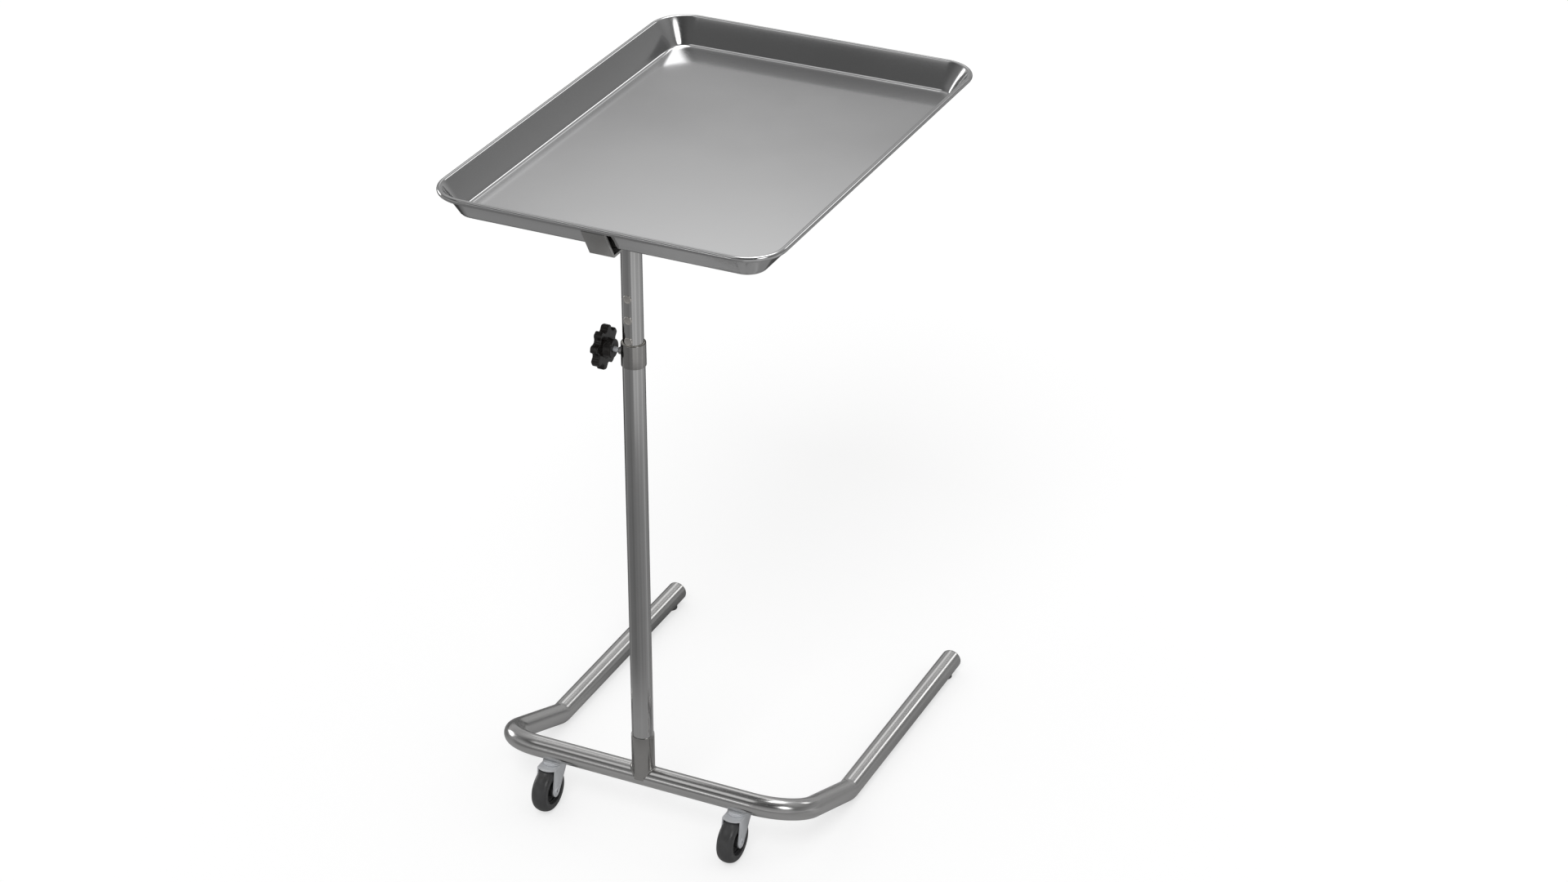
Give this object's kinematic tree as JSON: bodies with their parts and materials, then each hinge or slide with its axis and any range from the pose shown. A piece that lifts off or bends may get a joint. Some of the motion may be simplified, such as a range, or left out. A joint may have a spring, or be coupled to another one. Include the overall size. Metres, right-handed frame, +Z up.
{
  "type": "mayo instrument stand",
  "caption": "Instrument stand: shallow steel tray on a telescoping column with a hand-knob clamp, over a bent-tube floor frame with swivel casters at the crossbar.",
  "frame": {"origin": "on the floor, under the middle of the tray", "axes": "+Z up; +Y from the column along the legs, which is the tray's long side; +X along the crossbar"},
  "size_m": [0.4112, 0.579, 0.8122],
  "materials": {
    "satin_steel": "polished stainless tube",
    "bright_steel": "bright polished steel",
    "strap_steel": "satin flat bar",
    "tray_steel": "satin stainless sheet",
    "zinc_steel": "bright zinc plate",
    "black_plastic": "moulded",
    "knob_plastic": "glossy moulded",
    "white_plastic": "natural nylon",
    "grey_rubber": "soft rubber",
    "tyre_rubber": "charcoal rubber tread",
    "brass": "turned brass"
  },
  "bodies": {
    "base": {"base_frame": "satin_steel", "leg_end_plugs": "satin_steel", "leg_glides": "grey_rubber", "caster_inserts": "zinc_steel", "column_socket": "satin_steel", "lower_column": "satin_steel", "column_base_plug": "zinc_steel", "socket_screw": "zinc_steel", "clamp_collar": "satin_steel", "guide_bush": "white_plastic", "caster_left_stem": "zinc_steel", "caster_right_stem": "zinc_steel", "caster_left_race": "zinc_steel", "caster_right_race": "zinc_steel"},
    "column_guide": {"column_guide_ring": "white_plastic"},
    "upper_column": {"upper_column": "bright_steel", "index_studs": "satin_steel", "column_top_plug": "zinc_steel", "support_strap": "strap_steel", "support_rib": "strap_steel", "cross_strap": "strap_steel", "strap_screws": "zinc_steel", "cross_rivets": "zinc_steel", "tray_pads": "grey_rubber"},
    "tray": {"tray": "tray_steel"},
    "clamp_tip": {"clamp_tip": "white_plastic"},
    "clamp_knob": {"clamp_screw": "zinc_steel", "clamp_knob": "knob_plastic", "knob_insert": "brass"},
    "caster_left": {"caster_left_balls": "bright_steel", "caster_left_fork": "zinc_steel", "caster_left_axle": "zinc_steel", "caster_left_spacer": "zinc_steel"},
    "caster_right": {"caster_right_balls": "bright_steel", "caster_right_fork": "zinc_steel", "caster_right_axle": "zinc_steel", "caster_right_spacer": "zinc_steel"},
    "wheel_left": {"caster_left_wheel": "black_plastic", "caster_left_tyre": "tyre_rubber"},
    "wheel_right": {"caster_right_wheel": "black_plastic", "caster_right_tyre": "tyre_rubber"}
  },
  "joints": [
    {"name": "column_height", "type": "slide", "parent": "base", "child": "column_guide", "axis": [0, 0, 1], "range_m": [0, 0.43]},
    {"name": "column_swivel", "type": "hinge", "parent": "column_guide", "child": "upper_column", "pos_m": [0, -0.2016, 0.7], "axis": [0, 0, 1], "continuous": true},
    {"name": "tray_lift", "type": "slide", "parent": "upper_column", "child": "tray", "axis": [0, 0, 1], "range_m": [0, 0.12]},
    {"name": "clamp_advance", "type": "slide", "parent": "base", "child": "clamp_tip", "axis": [-1, 0, 0], "range_m": [0, 0.00199]},
    {"name": "clamp_turn", "type": "hinge", "parent": "clamp_tip", "child": "clamp_knob", "pos_m": [-0.02, -0.2016, 0.625], "axis": [-1, 0, 0], "range_deg": [0, 720]},
    {"name": "caster_left_swivel", "type": "hinge", "parent": "base", "child": "caster_left", "pos_m": [-0.12075, -0.2016, 0.058], "axis": [0, 0, 1], "continuous": true},
    {"name": "caster_left_roll", "type": "hinge", "parent": "caster_left", "child": "wheel_left", "pos_m": [-0.12075, -0.2156, 0.0275], "axis": [1, 0, 0], "continuous": true},
    {"name": "caster_right_swivel", "type": "hinge", "parent": "base", "child": "caster_right", "pos_m": [0.12075, -0.2016, 0.058], "axis": [0, 0, 1], "continuous": true},
    {"name": "caster_right_roll", "type": "hinge", "parent": "caster_right", "child": "wheel_right", "pos_m": [0.12075, -0.2156, 0.0275], "axis": [1, 0, 0], "continuous": true}
  ],
  "couplings": [
    {"joint": "clamp_turn", "follows": "clamp_advance", "rad_per_m": 6283.2}
  ]
}
